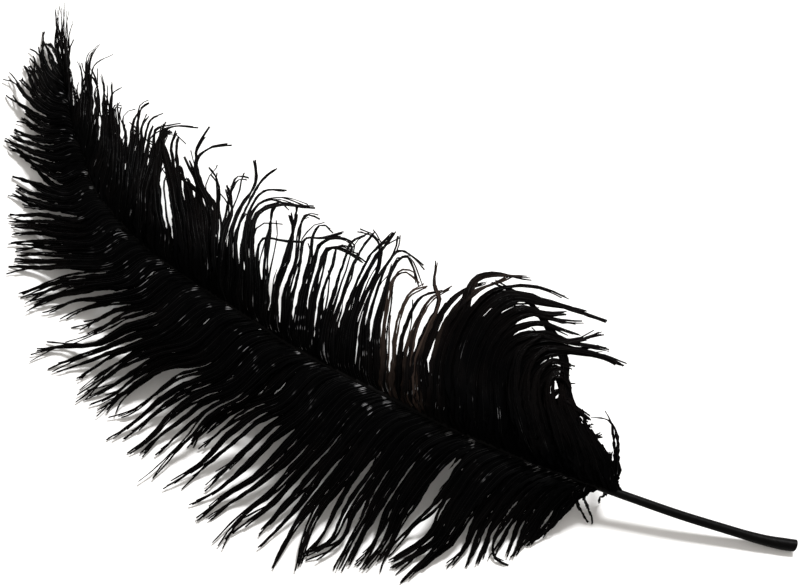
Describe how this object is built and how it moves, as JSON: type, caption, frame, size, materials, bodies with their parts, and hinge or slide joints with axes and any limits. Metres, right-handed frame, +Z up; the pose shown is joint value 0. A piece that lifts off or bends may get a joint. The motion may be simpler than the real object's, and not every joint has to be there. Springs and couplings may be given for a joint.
{
  "type": "ostrich feather",
  "caption": "Long soft plume with a bare cut quill, lying on one drooping vane while the other vane stands up and curls over.",
  "frame": {"origin": "middle of the small flat worn under the cut end of the quill, on the surface that the feather lies on", "axes": "+X from the quill's cut end to the feather's tip, +Y towards the vane that droops to the surface, +Z up off that surface"},
  "size_m": [0.4226, 0.1645, 0.0506],
  "materials": {
    "barbs": "matte",
    "quill": "satin"
  },
  "bodies": {
    "root": {"feather": "barbs"}
  },
  "joints": []
}
